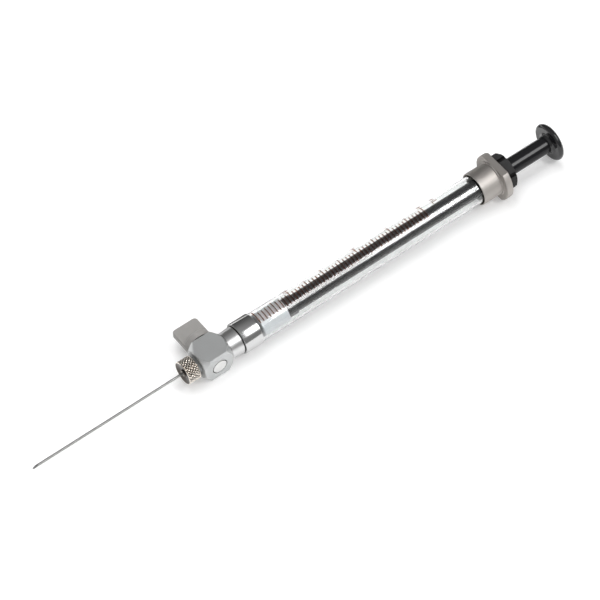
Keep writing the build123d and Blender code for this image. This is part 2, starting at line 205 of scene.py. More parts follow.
# ---------------------------------------------------------------- room and lamps
# An even white room lights the syringe, but metal sees it dim.  A softbox on the camera's side, brighter
# in its middle, draws the line along glass and metal.  The key lamp stands there too, and is narrow, so
# that the scale shades the piston; the wide fill lamp on the lever's side lays the soft shadow.
ROOM_LIGHT = 0.76       # what lights the syringe and the floor
ROOM_DARK = 0.13        # what metal sees all around; the top, near and front parts are added to it
ROOM_TOP = 0.29
ROOM_TOP_FALL = 3.0     # how quickly the light part of the ceiling fades towards the walls
ROOM_NEAR = 0.18
ROOM_FRONT = 0.35
ROOM_BACKDROP = 0.8     # low down the room is white, which shows only through the edges of the glass
BACKDROP_TOP = (0.15, 0.30)     # the height where that white starts to fade, and how far up it lasts
LAMP_TARGET = Vector((0.065, 0, 0))
SOFTBOX_PLACE = Vector((0.30, -0.30, 0.52))
SOFTBOX_SIZE = (0.32, 0.56)
SOFTBOX_RADIANCE = 0.8
MIDDLE_PLACE = Vector((0.30, -0.29, 0.505))
MIDDLE_SIZE = (0.28, 0.32)
MIDDLE_RADIANCE = 8.5
KEY_SIZE = (0.05, 0.20)
KEY_RADIANCE = 30.0
FILL_PLACE = Vector((0.12, 0.26, 0.58))
FILL_SIZE = (0.40, 0.60)
FILL_RADIANCE = 3.0


def make_room():
    """World light: plain grey for lighting, white for the eye, and a dim gradient for reflections."""
    world = bpy.data.worlds.new("room")
    bpy.context.scene.world = world
    world.use_nodes = True
    tree = world.node_tree
    tree.nodes.clear()
    start = Socket(tree)
    along, toward_lever, up = start.node("ShaderNodeTexCoord", output="Generated").split()
    top = up.math("MAXIMUM", 0.0).math("POWER", ROOM_TOP_FALL)
    near = (toward_lever * -1.0).math("MAXIMUM", 0.0)
    front = (along * -1.0).math("MAXIMUM", 0.0)
    mirror_level = ROOM_DARK + top * ROOM_TOP + near * ROOM_NEAR + front * ROOM_FRONT
    eye, gloss_ray, through = ray_kinds(tree)
    bounced = (gloss_ray + through).math("MINIMUM", 1.0)
    backdrop = through * (1 - up.rise(*BACKDROP_TOP)) * ROOM_BACKDROP
    level = (eye + bounced * mirror_level + backdrop
             + (1 - (eye + bounced).math("MINIMUM", 1.0)) * ROOM_LIGHT)
    sky = start.node("ShaderNodeBackground", inputs={"Strength": level})
    start.node("ShaderNodeOutputWorld", inputs={"Surface": sky})


def make_lamp(name, place, size, radiance, mirrored):
    """One rectangular lamp, for reflections or for light; its first side lies along the barrel."""
    data = bpy.data.lights.new(name, "AREA")
    data.shape = "RECTANGLE"
    data.size, data.size_y = size
    data.energy = radiance * math.pi * size[0] * size[1]
    lamp = bpy.data.objects.new(name, data)
    facing = (place - LAMP_TARGET).normalized()
    long_side = (Vector((1, 0, 0)) - facing * facing.x).normalized()
    short_side = facing.cross(long_side)
    lamp.matrix_world = (Matrix.Translation(place)
                         @ Matrix((long_side, short_side, facing)).transposed().to_4x4())
    lamp.visible_glossy = mirrored
    lamp.visible_transmission = mirrored
    lamp.visible_diffuse = not mirrored
    bpy.context.collection.objects.link(lamp)


make_room()
make_lamp("softbox", SOFTBOX_PLACE, SOFTBOX_SIZE, SOFTBOX_RADIANCE, True)
make_lamp("softbox_middle", MIDDLE_PLACE, MIDDLE_SIZE, MIDDLE_RADIANCE, True)
make_lamp("key", SOFTBOX_PLACE, KEY_SIZE, KEY_RADIANCE, False)
make_lamp("fill", FILL_PLACE, FILL_SIZE, FILL_RADIANCE, False)

# ---------------------------------------------------------------- needle cannula
# A bright drawn tube of stainless steel, ground to a bevel.  Its hub is pressed on and is held by the
# nut; only a ring of the hub shows around the tube.
MM = 0.001              # one millimetre in metres
CANNULA_COLOUR = (0.40, 0.40, 0.395, 1)
HUB_COLOUR = (0.24, 0.22, 0.20, 1)
DRAW_LINES = 14000      # fine rings per metre along the tube
EDGE_SOFTNESS = 0.06 * MM


def plain_material(name, colour, paint=None, **levels):
    """Principled material; paint(object position) may return what changes over the surface."""
    material = bpy.data.materials.new(name)
    material.use_nodes = True
    tree = material.node_tree
    shader = tree.nodes["Principled BSDF"]
    shader.inputs["Base Color"].default_value = colour
    for level, value in levels.items():
        shader.inputs[level.replace("_", " ")].default_value = value
    if paint:
        place = Socket(tree).node("ShaderNodeTexCoord", output="Object")
        for socket, value in paint(place).items():
            tree.links.new(value.out, shader.inputs[socket])
    return material


def dress(name, material):
    """Give a CAD node its finish."""
    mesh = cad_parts[name].data
    mesh.materials.clear()
    mesh.materials.append(material)


def bumped(place, height, depth):
    """Normal for a height pattern of the given depth in metres, over edges that are a little rounded."""
    edges = place.node("ShaderNodeBevel", {"samples": 6}, {"Radius": EDGE_SOFTNESS})
    return place.node("ShaderNodeBump", inputs={"Strength": 1.0, "Distance": depth,
                                                "Height": height, "Normal": edges})


def speckle(place, per_metre, detail=2.0):
    """Even cloudy pattern."""
    return place.node("ShaderNodeTexNoise", inputs={"Vector": place, "Scale": per_metre, "Detail": detail})


def distance(one, other):
    """Length of a line from its two parts."""
    return (one * one + other * other).math("SQRT")


def rings_at(reach, per_metre, detail=2.0):
    """Lines that follow one another as reach grows, of uneven strength."""
    return reach.node("ShaderNodeTexNoise", {"noise_dimensions": "1D"},
                      {"W": reach * per_metre, "Scale": 1.0, "Detail": detail})


def lathe_lines(place, per_metre, detail=2.0):
    """Fine rings of a turned surface: they follow the length on a side and the radius on an end."""
    x, y, z = place.split()
    return rings_at(x + distance(y, z), per_metre, detail)


def drawn_steel(place):
    rings = lathe_lines(place, DRAW_LINES)
    return {"Roughness": rings.between(0.42, 0.62),
            "Normal": bumped(place, rings, 0.002 * MM)}


def turned_nickel(place):
    rings = lathe_lines(place, 9000)
    return {"Roughness": rings.between(0.34, 0.54),
            "Normal": bumped(place, rings, 0.003 * MM)}


dress("needle_cannula", plain_material("drawn_steel", CANNULA_COLOUR, drawn_steel, Metallic=1.0))
dress("needle_hub", plain_material("hub_nickel", HUB_COLOUR, turned_nickel, Metallic=1.0))

# ---------------------------------------------------------------- seals
# White PTFE: the needle seal, the lever's washer, the front gasket, the piston and the rod's guide bush.
# The rotor's sleeve is coloured near black, as painted shade for the gap around the rotor's end. All are
# turned and have a waxy surface.
PTFE_COLOUR = (0.66, 0.68, 0.70, 1)
SLEEVE_SHADE_COLOUR = (0.035, 0.035, 0.037, 1)


def turned_ptfe(place):
    rings = lathe_lines(place, 5000)
    cloud = speckle(place, 500.0)
    return {"Base Color": cloud.blend(PTFE_COLOUR, (0.60, 0.63, 0.66, 1)),
            "Roughness": rings.between(0.32, 0.47),
            "Normal": bumped(place, rings, 0.004 * MM)}


def filled_ptfe(place):
    grain = speckle(place, 8000.0)
    return {"Roughness": grain.between(0.40, 0.55),
            "Normal": bumped(place, grain, 0.003 * MM)}


ptfe = plain_material("ptfe", PTFE_COLOUR, turned_ptfe)
for name in ("needle_seal", "friction_washer", "front_gasket", "piston", "guide_bush"):
    dress(name, ptfe)
# painted shade: the sleeve is near black so that the ring around the rotor's end reads as a shaded gap
dress("rotor_sleeve", plain_material("filled_ptfe", SLEEVE_SHADE_COLOUR, filled_ptfe))

# ---------------------------------------------------------------- needle nut
# Cap nut of nickel-plated brass with a sharp diamond knurl, which pulls the hub up on the nose.
# It is turned, then knurled between its two chamfers.
NUT_COLOUR = (0.94, 0.88, 0.80, 1)
NUT_SHADE = (0.06, 0.048, 0.04, 1)
KNURL_TEETH = 22
KNURL_STEPS = 12        # mesh divisions across one tooth
KNURL_DEPTH = 0.34 * MM
KNURL_MARGIN = 0.06 * MM
CREST_FLAT = 0.25       # share of a diamond that the grooves leave flat
CREST_SHOWN = (0.22, 0.30)  # over this part of the depth the painted shade of the grooves gives way to bright metal
BAND_LIMIT = 0.995      # grooves reach only what lies at this share of the radius or beyond
NUT_WALL = 0.9 * MM
NUT_FRONT_CHAMFER = 0.12 * MM
NUT_REAR_CHAMFER = 0.20 * MM
SHARP_EDGE = math.radians(32)
NEAR = 1e-8             # points nearer than this are one
HUB_HOLE = 1.03 * MM
HUB_HOLE_ROUND = 0.08 * MM
NOSE_HOLE = 2.43 * MM
NOSE_HOLE_BREAK = 0.10 * MM
BURR = 0.02 * MM        # tiny land between an edge and its chamfer


def eased(corners, steps=4):
    """Outline through (x, radius, rounding) corners, with every rounded corner as a short arc."""
    points = []
    for index, (x, r, rounding) in enumerate(corners):
        here = Vector((x, r))
        to_last = Vector(corners[index - 1][:2]) - here
        to_next = Vector(corners[(index + 1) % len(corners)][:2]) - here
        turn = math.pi - to_last.angle(to_next)
        if not rounding or turn < 1e-4:
            points.append(here)
            continue
        reach = rounding * math.tan(turn / 2)
        start = here + to_last.normalized() * reach
        end = here + to_next.normalized() * reach
        middle = (to_last.normalized() + to_next.normalized()).normalized()
        centre = here + middle * rounding / math.cos(turn / 2)
        first, last = start - centre, end - centre
        sweep = first.angle_signed(last)
        for step in range(steps + 1):
            points.append(centre + Matrix.Rotation(-sweep * step / steps, 2) @ first)
    return points


def turned_mesh(name, outline, around):
    """Closed solid made by turning an (x, radius) outline about the syringe's axis."""
    mesh = bpy.data.meshes.new(name)
    shape = bmesh.new()
    rings = []
    for step in range(around):
        angle = 2 * math.pi * step / around
        rings.append([shape.verts.new((x, r * math.cos(angle), r * math.sin(angle))) for x, r in outline])
    for step, ring in enumerate(rings):
        other = rings[(step + 1) % around]
        for index in range(len(outline)):
            following = (index + 1) % len(outline)
            shape.faces.new((ring[index], ring[following], other[following], other[index]))
    bmesh.ops.remove_doubles(shape, verts=shape.verts, dist=NEAR)
    bmesh.ops.recalc_face_normals(shape, faces=shape.faces)
    for face in shape.faces:
        face.smooth = True
    shape.to_mesh(mesh)
    shape.free()
    mesh.set_sharp_from_angle(angle=SHARP_EDGE)
    return mesh


def new_tree(name, numbers, counts=()):
    """Geometry node tree with named sizes and a material as inputs, and those inputs by name."""
    tree = bpy.data.node_groups.new(name, "GeometryNodeTree")
    face = tree.interface
    face.new_socket("Geometry", in_out="INPUT", socket_type="NodeSocketGeometry")
    for count in counts:
        face.new_socket(count, in_out="INPUT", socket_type="NodeSocketInt")
    for number in numbers:
        face.new_socket(number, in_out="INPUT", socket_type="NodeSocketFloat")
    face.new_socket("Material", in_out="INPUT", socket_type="NodeSocketMaterial")
    face.new_socket("Geometry", in_out="OUTPUT", socket_type="NodeSocketGeometry")
    given = tree.nodes.new("NodeGroupInput")
    return tree, {out.name: Socket(tree, out) for out in given.outputs}


def ended(tree, geometry, material):
    """Close a tree: its instances made real, in their material."""
    real = geometry.node("GeometryNodeRealizeInstances", inputs={0: geometry})
    dressed = real.node("GeometryNodeSetMaterial", inputs={"Geometry": real, "Material": material})
    result = tree.nodes.new("NodeGroupOutput")
    tree.links.new(dressed.out, result.inputs[0])
    return tree


def knurl_tree():
    """Geometry nodes that press crossing spiral grooves into a round band about X."""
    tree, size = new_tree("knurl", ("Teeth", "Pitch", "Depth", "Start", "End", "Radius", "Margin"))
    start = Socket(tree)
    x, y, z = start.node("GeometryNodeInputPosition").split()
    radius = distance(y, z)
    turn = z.math("ARCTAN2", y) * size["Teeth"] * (1 / (2 * math.pi))
    along = (x - size["Start"]).math("DIVIDE", size["Pitch"])
    one_way = ((turn + along).math("FRACT") * 2.0 - 1.0).math("ABSOLUTE")
    other_way = ((turn - along).math("FRACT") * 2.0 - 1.0).math("ABSOLUTE")
    groove = one_way.math("MAXIMUM", other_way).rise(CREST_FLAT, 1 - CREST_FLAT)
    front_fade = (x - size["Start"]).math("DIVIDE", size["Margin"]).clamped()
    back_fade = (size["End"] - x).math("DIVIDE", size["Margin"]).clamped()
    on_band = radius.math("GREATER_THAN", size["Radius"] * BAND_LIMIT)
    press = groove * front_fade * back_fade * on_band * size["Depth"]
    share = (press * -1.0).math("DIVIDE", radius)
    offset = start.node("ShaderNodeCombineXYZ", inputs={"Y": y * share, "Z": z * share})
    moved = start.node("GeometryNodeSetPosition", inputs={"Geometry": size["Geometry"], "Offset": offset})
    return ended(tree, moved, size["Material"])


def grown(piece, tree, **values):
    """Run a geometry node tree on a piece and keep the result as its plain mesh."""
    modifier = piece.modifiers.new(tree.name, "NODES")
    modifier.node_group = tree
    for item in tree.interface.items_tree:
        if item.in_out == "INPUT" and item.name in values:
            modifier[item.identifier] = values[item.name]
    ready = piece.evaluated_get(bpy.context.evaluated_depsgraph_get())
    mesh = bpy.data.meshes.new_from_object(ready)
    mesh.materials.clear()
    mesh.materials.append(values["Material"])
    for face in mesh.polygons:
        face.material_index = 0
    piece.modifiers.remove(modifier)
    piece.data = mesh


def knurled_nickel(place):
    rings = lathe_lines(place, 9000)
    _, y, z = place.split()
    crest = (distance(y, z) - (nut_radius - KNURL_DEPTH)) * (1 / KNURL_DEPTH)
    # painted shade: the knurl's grooves are coloured dark by their depth, for the shade inside them
    return {"Base Color": crest.rise(*CREST_SHOWN).blend(NUT_SHADE, NUT_COLOUR),
            "Roughness": rings.between(0.14, 0.28)}


_, nut_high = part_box("needle_nut")
nut_length = nut_high[0]
nut_radius = nut_high[2]
band_start = NUT_FRONT_CHAMFER
band_end = nut_length - NUT_REAR_CHAMFER
knurl_pitch = 2 * math.pi * nut_radius / KNURL_TEETH
band_rows = round((band_end - band_start) / knurl_pitch * KNURL_STEPS)
band_step = (band_end - band_start) / band_rows
band = [Vector((band_start + band_step * row, nut_radius)) for row in range(band_rows + 1)]
nut_inside = eased([(nut_length - BURR, NOSE_HOLE, 0), (NUT_WALL, NOSE_HOLE, 0), (NUT_WALL, HUB_HOLE, 0),
                    (0, HUB_HOLE, HUB_HOLE_ROUND)])
nut_front = [Vector((0, nut_radius - NUT_FRONT_CHAMFER - BURR))]
nut_back = [Vector((nut_length, nut_radius - NUT_REAR_CHAMFER)),
            Vector((nut_length, NOSE_HOLE + NOSE_HOLE_BREAK))]
nut_outline = nut_inside + nut_front + band + nut_back
nut_material = plain_material("knurled_nickel", NUT_COLOUR, knurled_nickel, Metallic=1.0)
needle_nut = new_piece("knurled_nut", turned_mesh("knurled_nut", nut_outline, KNURL_TEETH * KNURL_STEPS))
grown(needle_nut, knurl_tree(), Teeth=float(KNURL_TEETH), Pitch=knurl_pitch, Depth=KNURL_DEPTH,
      Start=band_start, End=band_end, Radius=nut_radius, Margin=KNURL_MARGIN, Material=nut_material)
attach(needle_nut, "barrel")
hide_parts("needle_nut")

# ---------------------------------------------------------------- valve block, rotor and neck
# The block is square stainless bar with turned ends, finely blasted; the neck behind it is turned bright.
# The rotor's polished end shows in the block's side, and the set screw hides under the lever's hub.
BLOCK_COLOUR = (0.66, 0.67, 0.67, 1)
BLOCK_SHADE = (0.60, 0.61, 0.61, 1)
NECK_COLOUR = (0.68, 0.68, 0.68, 1)
GROOVE_SHADE_COLOUR = (0.04, 0.04, 0.04, 1)
NECK_SHADE = 0.5 * MM
CONE_FACE = 4.4 * MM    # radius of the round flat that each turned cone ends in
CONE_EDGE = 0.03 * MM
CONE_GLOSS = 0.20       # by which the turned cones are smoother than the blasted flats
ROTOR_COLOUR = (0.78, 0.78, 0.77, 1)


def blasted_steel(place):
    grain = speckle(place, 9000.0, 3.0)
    cloud = speckle(place, 260.0, 3.0)
    x, y, z = place.split()
    reach = (x - block_middle).math("ABSOLUTE") + distance(y, z)
    cone = reach.math("GREATER_THAN", cone_reach - CONE_EDGE)
    return {"Base Color": cloud.blend(BLOCK_SHADE, BLOCK_COLOUR),
            "Roughness": cloud.between(0.62, 0.72) - cone * CONE_GLOSS,
            "Normal": bumped(place, grain, 0.006 * MM)}


def bright_turned_steel(place):
    rings = lathe_lines(place, 7000, 4.0)
    open_air = place.node("ShaderNodeAmbientOcclusion", {"samples": 8}, {"Distance": NECK_SHADE}, "AO")
    # painted shade: the neck darkens to near black where nearby parts close over it, as in its groove
    return {"Base Color": open_air.math("POWER", 2.0).blend(GROOVE_SHADE_COLOUR, NECK_COLOUR),
            "Roughness": rings.between(0.26, 0.40),
            "Normal": bumped(place, rings, 0.0015 * MM)}


def rotor_steel(place):
    x, _, z = place.split()
    rings = rings_at(distance(x - block_middle, z), 9000.0)
    return {"Roughness": rings.between(0.25, 0.40),
            "Normal": bumped(place, rings, 0.003 * MM)}


rotor_low, rotor_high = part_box("valve_rotor")
_, block_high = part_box("valve_body")
block_middle = (rotor_low[0] + rotor_high[0]) / 2
cone_reach = block_high[0] - block_middle + CONE_FACE
dress("valve_body", plain_material("blasted_steel", BLOCK_COLOUR, blasted_steel, Metallic=1.0))
dress("barrel_neck", plain_material("turned_steel", NECK_COLOUR, bright_turned_steel, Metallic=1.0))
dress("valve_rotor", plain_material("rotor_steel", ROTOR_COLOUR, rotor_steel, Metallic=1.0))

# ---------------------------------------------------------------- valve lever
# Cast lever with a round hub and a flat paddle, under a warm grey satin paint that is slightly pebbled.
# A black set screw holds it on the rotor's stem.
LEVER_COLOUR = (0.255, 0.247, 0.235, 1)
LEVER_WORN = (0.31, 0.30, 0.29, 1)
SCREW_COLOUR = (0.03, 0.03, 0.032, 1)


def lever_paint(place):
    pebble = speckle(place, 5200.0)
    cloud = speckle(place, 340.0, 3.0)
    return {"Base Color": cloud.blend(LEVER_COLOUR, LEVER_WORN),
            "Roughness": pebble.between(0.40, 0.52),
            "Normal": bumped(place, pebble, 0.008 * MM)}


def screw_steel(place):
    grain = speckle(place, 8000.0)
    return {"Roughness": grain.between(0.35, 0.55)}


dress("valve_lever", plain_material("lever_paint", LEVER_COLOUR, lever_paint))
dress("lever_screw", plain_material("screw_steel", SCREW_COLOUR, screw_steel, Metallic=0.6))

# ---------------------------------------------------------------- front ferrule
# Thin sleeve over the neck's spigot and the front of the glass, bonded on, polished and chromed.
# Both rims are rounded over by the polishing.
CHROME_COLOUR = (0.64, 0.64, 0.64, 1)
CEMENT_COLOUR = (0.72, 0.71, 0.68, 1)   # bonds the glass inside the sleeve
RIM_ROUND = 0.14 * MM
CEMENT_DULLNESS = 0.5
POLISH_WAVE = 0.0010 * MM
GLASS_GAP = 0.03 * MM   # filled by the cement
CEMENT_EDGE = 0.01 * MM
FACETS = 160            # around each large turned piece


def polished_chrome(place):
    rings = lathe_lines(place, 2500)
    haze = speckle(place, 700.0, 3.0)
    _, y, z = place.split()
    outside = distance(y, z).math("GREATER_THAN", socket_radius + CEMENT_EDGE)
    return {"Base Color": outside.blend(CEMENT_COLOUR, CHROME_COLOUR),
            "Metallic": outside,
            "Roughness": haze.between(0.10, 0.16) + (1 - outside) * CEMENT_DULLNESS,
            "Normal": bumped(place, rings, POLISH_WAVE)}


glass_low, glass_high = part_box("glass_barrel")
glass_radius = glass_high[2]
socket_radius = glass_radius + GLASS_GAP
chrome = plain_material("polished_chrome", CHROME_COLOUR, polished_chrome, Metallic=1.0)
front_low, front_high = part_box("front_ferrule")
front_outline = eased([(front_low[0], socket_radius, 0), (front_low[0], front_high[2], RIM_ROUND),
                       (front_high[0], front_high[2], RIM_ROUND), (front_high[0], socket_radius, 0)])
front_ferrule = new_piece("chrome_ferrule", turned_mesh("chrome_ferrule", front_outline, FACETS), chrome)
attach(front_ferrule, "barrel")
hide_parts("front_ferrule")

# ---------------------------------------------------------------- glass barrel
# Precision-bore borosilicate tube, fused solid in front of the bore but for the outlet, with its ends
# fire-rounded.  Shadow rays pass straight through it, so that the piston and rod inside are lit.
GLASS_TINT = (0.985, 0.995, 0.992, 1)
GLASS_IOR = 1.47
GLASS_SHADOW = (0.86, 0.87, 0.87, 1)
OUTLET_RADIUS = 0.40 * MM
FIRE_ROUND = 0.25 * MM
BORE_ROUND = 0.30 * MM
BORE_HIDDEN = 0.8 * MM  # the bore's front end lies this far inside the ferrule
MOUTH_ROUND = 0.1 * MM
PISTON_GAP = 0.04 * MM
GLASS_FACETS = 192
GLASS_STEPS = 6         # in each rounding


def make_glass():
    """Clear glass whose shadow is clear too; the coat's slight softness keeps its highlights even."""
    material = plain_material("clear_glass", GLASS_TINT, Roughness=0.0, IOR=GLASS_IOR,
                              Transmission_Weight=1.0, Coat_Weight=0.6, Coat_Roughness=0.04,
                              Coat_IOR=GLASS_IOR)
    tree = material.node_tree
    start = Socket(tree)
    path = start.node("ShaderNodeLightPath").out.node.outputs
    clear = start.node("ShaderNodeBsdfTransparent", inputs={"Color": GLASS_SHADOW})
    glass = Socket(tree, tree.nodes["Principled BSDF"].outputs[0])
    shadow = Socket(tree, path["Is Shadow Ray"])
    mixed = start.node("ShaderNodeMixShader", inputs={0: shadow, 1: glass, 2: clear})
    tree.links.new(mixed.out, tree.nodes["Material Output"].inputs["Surface"])
    return material


piston_low, piston_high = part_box("piston")
bore_radius = piston_high[2] + PISTON_GAP
bore_start = piston_low[0]
bore_front = front_high[0] - BORE_HIDDEN
glass_outline = eased([(glass_low[0], OUTLET_RADIUS, 0), (glass_low[0], glass_radius, FIRE_ROUND),
                       (glass_high[0], glass_radius, FIRE_ROUND), (glass_high[0], bore_radius, MOUTH_ROUND),
                       (bore_front, bore_radius, BORE_ROUND), (bore_front, OUTLET_RADIUS, 0)], GLASS_STEPS)
barrel = new_piece("glass_tube", turned_mesh("glass_tube", glass_outline, GLASS_FACETS), make_glass())
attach(barrel, "barrel")
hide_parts("glass_barrel")

# ---------------------------------------------------------------- scale marks
# Fired brown ink on the outside of the glass: fifty divisions, longer at every fifth and tenth, with all
# lower ends on one line along the barrel.  Geometry nodes set the row and wrap it on the tube.
INK_COLOUR = (0.22, 0.12, 0.09, 1)
INK_THICK = (0.16, 0.085, 0.06, 1)
INK_STAIN = (0.52, 0.33, 0.27, 1)   # for one of the film's two faces
INK_COVER = 0.12                    # share that hides what is behind
DIVISION = 1.2 * MM
DIVISIONS = 50
MARK_WIDTH = 0.36 * MM
MARK_HEIGHT = 0.014 * MM
MARK_LIFT = 0.004 * MM
MARK_FOOT = math.radians(63.5)      # from -Y towards +Z
MARK_SHORT = 3.4 * MM
MARK_FIFTH = 4.2 * MM
MARK_TENTH = 5.0 * MM
MARK_STEPS = 24


def fired_ink(place):
    speck = speckle(place, 9000.0)
    return {"Base Color": speck.blend(INK_COLOUR, INK_THICK),
            "Roughness": speck.between(0.35, 0.55)}


def make_ink():
    """A stain in the glass more than a paint: it colours the light that goes through and hides little."""
    material = plain_material("fired_ink", INK_COLOUR, fired_ink)
    tree = material.node_tree
    start = Socket(tree)
    stain = start.node("ShaderNodeBsdfTransparent", inputs={"Color": INK_STAIN})
    paint = Socket(tree, tree.nodes["Principled BSDF"].outputs[0])
    mixed = start.node("ShaderNodeMixShader", inputs={0: INK_COVER, 1: stain, 2: paint})
    tree.links.new(mixed.out, tree.nodes["Material Output"].inputs["Surface"])
    return material


def scale_tree():
    """Geometry nodes for a row of marks wrapped round a tube that lies along X."""
    tree, size = new_tree("scale_row", ("Start", "Step", "Width", "Height", "Lift", "Foot", "Short", "Fifth",
                                        "Tenth", "Radius"), ("Count",))
    start = Socket(tree)
    step = start.node("ShaderNodeCombineXYZ", inputs={"X": size["Step"]})
    first = start.node("ShaderNodeCombineXYZ", inputs={"X": size["Start"]})
    row = start.node("GeometryNodeMeshLine", inputs={"Count": size["Count"], "Start Location": first,
                                                     "Offset": step})
    block = start.node("ShaderNodeCombineXYZ", inputs={"X": size["Width"], "Y": 1.0, "Z": size["Height"]})
    mark = start.node("GeometryNodeMeshCube", inputs={"Size": block, "Vertices X": 2,
                                                      "Vertices Y": MARK_STEPS, "Vertices Z": 2})
    raised = start.node("GeometryNodeTransform", inputs={"Geometry": mark, "Translation": (0.0, 0.5, 0.0)})
    number = start.node("GeometryNodeInputIndex")
    is_fifth = number.math("MODULO", 5.0).math("LESS_THAN", 0.5)
    is_tenth = number.math("MODULO", 10.0).math("LESS_THAN", 0.5)
    length = (size["Short"] + is_fifth * (size["Fifth"] - size["Short"])
              + is_tenth * (size["Tenth"] - size["Fifth"]))
    stretch = start.node("ShaderNodeCombineXYZ", inputs={"X": 1.0, "Y": length, "Z": 1.0})
    marks = start.node("GeometryNodeInstanceOnPoints", inputs={"Points": row, "Instance": raised,
                                                               "Scale": stretch})
    real = start.node("GeometryNodeRealizeInstances", inputs={0: marks})
    x, y, z = start.node("GeometryNodeInputPosition").split()
    angle = y.math("DIVIDE", size["Radius"]) + size["Foot"]
    out = size["Radius"] + size["Lift"] + z
    wrapped = start.node("ShaderNodeCombineXYZ", inputs={"X": x, "Y": angle.math("COSINE") * out * -1.0,
                                                         "Z": angle.math("SINE") * out})
    moved = start.node("GeometryNodeSetPosition", inputs={"Geometry": real, "Position": wrapped})
    return ended(tree, moved, size["Material"])


ink = make_ink()
scale_marks = new_piece("scale_marks", bpy.data.meshes.new("scale_marks"))
grown(scale_marks, scale_tree(), Count=DIVISIONS + 1, Start=bore_start, Step=DIVISION, Width=MARK_WIDTH,
      Height=MARK_HEIGHT, Lift=MARK_LIFT, Foot=MARK_FOOT, Short=MARK_SHORT, Fifth=MARK_FIFTH,
      Tenth=MARK_TENTH, Radius=glass_radius, Material=ink)
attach(scale_marks, "barrel")

# ---------------------------------------------------------------- scale numbers
# Plain volume numbers in the same ink beyond the long marks, upright when the needle points down, and
# the unit behind the last of them.  The characters are wrapped on the glass like the marks.
NUMBER_HEIGHT = 1.9 * MM
NUMBER_CENTRE = math.radians(139)
UNIT_HEIGHT = 2.6 * MM
UNIT_PLACE = 64.6 * MM
UNIT_CENTRE = math.radians(116)
CURVE_STEPS = 4
TEXT_NEAR = 1e-7        # points of a character nearer than this are one


def wrapped_text(name, words, height, along, centre):
    """Characters as a thin mesh on the glass, with their tops towards the knob."""
    curve = bpy.data.curves.new(name, "FONT")
    curve.body = words
    curve.size = height
    curve.align_x = "CENTER"
    curve.align_y = "CENTER"
    curve.extrude = MARK_HEIGHT / 2
    curve.resolution_u = CURVE_STEPS
    holder = bpy.data.objects.new(name, curve)
    bpy.context.collection.objects.link(holder)
    mesh = bpy.data.meshes.new_from_object(holder.evaluated_get(bpy.context.evaluated_depsgraph_get()))
    bpy.data.objects.remove(holder)
    for vertex in mesh.vertices:
        across, up, out = vertex.co
        angle = centre - across / glass_radius
        radius = glass_radius + MARK_LIFT + MARK_HEIGHT / 2 + out
        vertex.co = (bore_start + along + up, -math.cos(angle) * radius, math.sin(angle) * radius)
    return mesh


def make_numbers():
    """All characters of the scale as one piece."""
    shape = bmesh.new()
    for tenth in range(1, DIVISIONS // 10 + 1):
        words = f"{tenth / 2:g}"
        shape.from_mesh(wrapped_text("number", words, NUMBER_HEIGHT, tenth * 10 * DIVISION, NUMBER_CENTRE))
    shape.from_mesh(wrapped_text("unit", "mL", UNIT_HEIGHT, UNIT_PLACE, UNIT_CENTRE))
    bmesh.ops.remove_doubles(shape, verts=shape.verts, dist=TEXT_NEAR)
    bmesh.ops.recalc_face_normals(shape, faces=shape.faces)
    mesh = bpy.data.meshes.new("scale_numbers")
    shape.to_mesh(mesh)
    shape.free()
    return mesh


scale_numbers = new_piece("scale_numbers", make_numbers(), ink)
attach(scale_numbers, "barrel")

# ---------------------------------------------------------------- plunger rod and coupling
# Straight black rod with a gloss finish, and the darker collar that joins it to the piston.
# Faint marks of use run along the rod.
ROD_COLOUR = (0.010, 0.010, 0.011, 1)
STREAKS_ALONG = 60.0
STREAKS_AROUND = 2600.0


def black_gloss(place):
    x, y, z = place.split()
    stretched = place.node("ShaderNodeCombineXYZ", inputs={"X": x * STREAKS_ALONG, "Y": y * STREAKS_AROUND,
                                                           "Z": z * STREAKS_AROUND})
    streak = speckle(stretched, 1.0)
    return {"Roughness": streak.between(0.08, 0.16),
            "Normal": bumped(place, streak, 0.0003 * MM)}


def anodised(place):
    rings = lathe_lines(place, 7000)
    return {"Roughness": rings.between(0.25, 0.45),
            "Normal": bumped(place, rings, 0.003 * MM)}


gloss = plain_material("black_gloss", ROD_COLOUR, black_gloss, Specular_IOR_Level=0.24)
dress("plunger_rod", gloss)
dress("piston_coupling", plain_material("black_anodised", ROD_COLOUR, anodised))

# ---------------------------------------------------------------- plunger knob
# Thin black button, moulded with a full round rim, a low dome where the thumb presses and a short
# flared collar that runs out into the rod.
KNOB_FRONT_RIM = 0.85 * MM
KNOB_BACK_RIM = 1.00 * MM
KNOB_DISH = 0.18 * MM
KNOB_DOME = 0.02 * MM
KNOB_IOR = 1.6
COLLAR_LENGTH = 0.7 * MM
COLLAR_LIP = 0.10 * MM  # how far the collar stands out from the rod at its front, and then at its foot
COLLAR_FLARE = 0.55 * MM
COLLAR_EDGE = 0.04 * MM
COLLAR_FOOT = 1.0 * MM
ROD_RADIUS = 2.6 * MM
ROD_GAP = 0.03 * MM
ROD_SEAT = 1.0 * MM     # from the seat of the rod's end to the top of the dome
POLE = 0.01 * MM
KNOB_STEPS = 8

